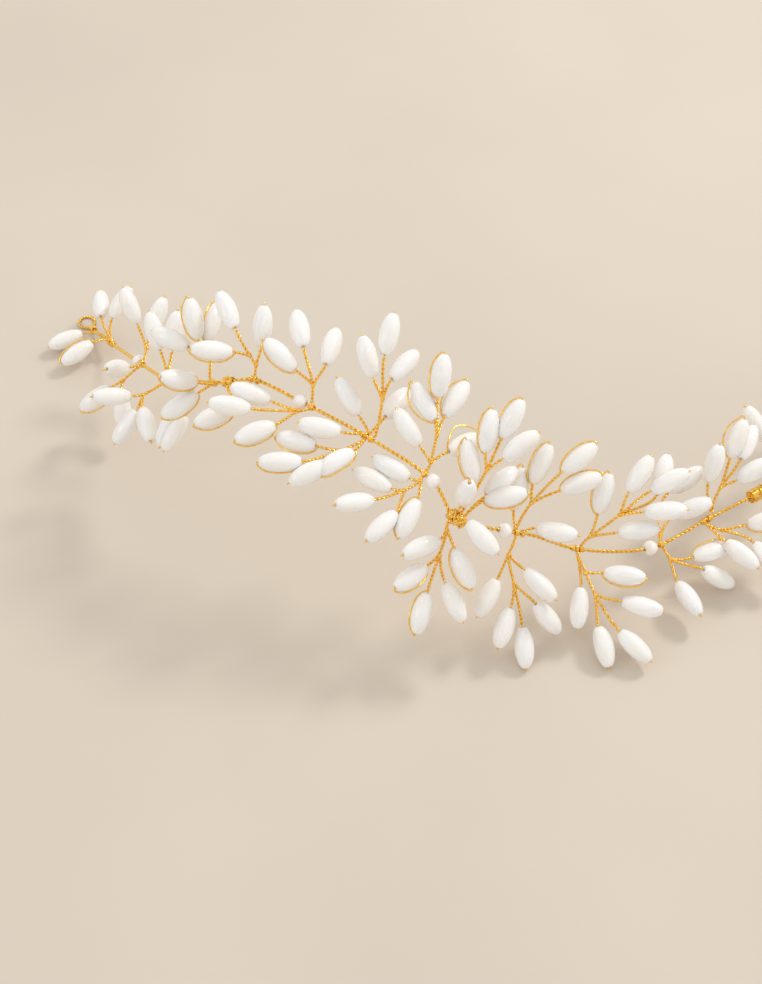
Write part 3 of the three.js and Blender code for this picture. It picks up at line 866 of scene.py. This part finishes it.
for number, place in enumerate(pearlPlaces, 1):
    radius, bore = pearl["diameter"] / 2, pearl["bore"] / 2
    cut = math.asin((bore + pearl["rim"]) / radius)
    outline = [(bore, -radius * math.cos(cut) + pearl["rim"])]
    for i in range(pearl["rings"] + 1):
        lift = cut + (math.pi - 2 * cut) * i / pearl["rings"]
        outline.append((radius * math.sin(lift), -radius * math.cos(lift)))
    outline.append((bore, radius * math.cos(cut) - pearl["rim"]))
    made = turnedMesh(outline, pearl["segments"])
    squeeze = [1 - turns.uniform(0, pearl["unround"]) for _ in range(3)]
    bmesh.ops.scale(made, verts=made.verts, vec=squeeze)
    axis = vine.direction(place)
    across = sideways(axis)
    stand = Matrix((across, axis.cross(across), axis)).transposed()
    bmesh.ops.transform(made, verts=made.verts, matrix=Matrix.Translation(vine.at(place)) @ stand.to_4x4())
    bmesh.ops.scale(made, verts=made.verts, vec=(mm, mm, mm))
    bmesh.ops.recalc_face_normals(made, faces=made.faces)
    mesh = bpy.data.meshes.new(f"round_pearl_{number}")
    made.to_mesh(mesh)
    made.free()
    finishPiece(f"round_pearl_{number}", mesh, lustre, f"pearl_{number}")
print("pearls made:", pearlCount)


# A twisted pair goes round as an eye, and a coil binds its neck to the main wire's end.
endLoop = {"radius": 1.925, "neck": 1.4, "neckTurns": 5.2, "neckRadius": 0.62, "steps": 40}

for node, place, way in (("end_loop_left", 0.0, -1), ("end_loop_right", vine.length, 1)):
    centre = cadCentre(node)
    outward = vine.direction(place) * way
    level = Vector((outward.x, outward.y, 0)).normalized()
    side = Vector((-level.y, level.x, 0))
    neck = vine.at(place)
    path = [neck - outward * 0.6 + side * 0.15, neck + outward * 0.1 + side * 0.2]
    for i in range(3, endLoop["steps"] - 2):
        angle = math.pi - math.tau * i / endLoop["steps"]
        path.append(centre + (level * math.cos(angle) + side * math.sin(angle)) * endLoop["radius"])
    path += [neck + outward * 0.1 - side * 0.2, neck - outward * 0.6 - side * 0.15]
    eye = Route(smoothRoute(path, 4))
    paths = twistedPair(eye, 0, eye.length)
    paths.append(coil(vine, place - way * endLoop["neck"], place, endLoop["neckRadius"],
                      endLoop["neckTurns"], wander=0.1, loose=0.08))
    wirePiece(node + "_eye", paths, node)
print("end loops made")


studio = {
    "floor": (0.68, 0.60, 0.505, 1), "floorSize": 3.0, "floorRoughness": 0.75,
    "world": (1.0, 0.985, 0.962, 1), "worldStrength": 0.85,
    "lights": {       # place and target in metres, size in metres, watts, colour
        "key": ((0.42, 0.32, 0.62), (0.0, 0.0, 0.02), 0.18, 2.1, (1.0, 0.985, 0.965)),
        "fill": ((-0.75, -0.35, 0.6), (0.0, 0.0, 0.02), 0.3, 0.6, (1.0, 0.98, 0.96)),
    },
}
camera = {"place": (-33.2, -259.4, 304.4), "tilt": 39.97, "roll": -1.07, "lens": 64.8,
          "sensor": 36.0, "nearest": 0.01}


def makeFloor():
    made = bmesh.new()
    bmesh.ops.create_grid(made, x_segments=1, y_segments=1, size=studio["floorSize"] / 2)
    mesh = bpy.data.meshes.new("floor")
    made.to_mesh(mesh)
    made.free()
    floor = bpy.data.objects.new("floor", mesh)
    bpy.context.scene.collection.objects.link(floor)
    material, tree, shader = newMaterial("floor")
    place = addNode(tree, "TexCoord").outputs["Object"]
    mottle = addNode(tree, "TexNoise", {"Vector": place, "Scale": 9.0, "Detail": 3.0})
    low, high = (tuple(c * k for c in studio["floor"][:3]) + (1,) for k in (0.97, 1.03))
    tree.links.new(addRamp(tree, mottle.outputs["Fac"], [(0.35, low), (0.65, high)]),
                   shader.inputs["Base Color"])
    shader.inputs["Roughness"].default_value = studio["floorRoughness"]
    mesh.materials.append(material)


def makeLights():
    for name, (place, target, size, watts, colour) in studio["lights"].items():
        light = bpy.data.lights.new(name, "AREA")
        light.shape, light.size, light.energy, light.color = "DISK", size, watts, colour
        lamp = bpy.data.objects.new(name, light)
        lamp.location = place
        lamp.rotation_euler = (Vector(target) - Vector(place)).to_track_quat("-Z", "Y").to_euler()
        bpy.context.scene.collection.objects.link(lamp)
    world = bpy.data.worlds.new("studio")
    world.use_nodes = True
    background = world.node_tree.nodes["Background"]
    background.inputs["Color"].default_value = studio["world"]
    background.inputs["Strength"].default_value = studio["worldStrength"]
    bpy.context.scene.world = world


def makeCamera():
    lens = bpy.data.cameras.new("camera")
    lens.lens, lens.sensor_width = camera["lens"], camera["sensor"]
    lens.clip_start = camera["nearest"]
    eye = bpy.data.objects.new("camera", lens)
    eye.matrix_world = (Matrix.Translation(Vector(camera["place"]) * mm)
                        @ Matrix.Rotation(math.radians(camera["tilt"]), 4, "X")
                        @ Matrix.Rotation(math.radians(camera["roll"]), 4, "Z"))
    bpy.context.scene.collection.objects.link(eye)
    bpy.context.scene.camera = eye


makeFloor()
makeLights()
makeCamera()
bpy.context.scene.view_settings.view_transform = "Standard"
print("studio made")
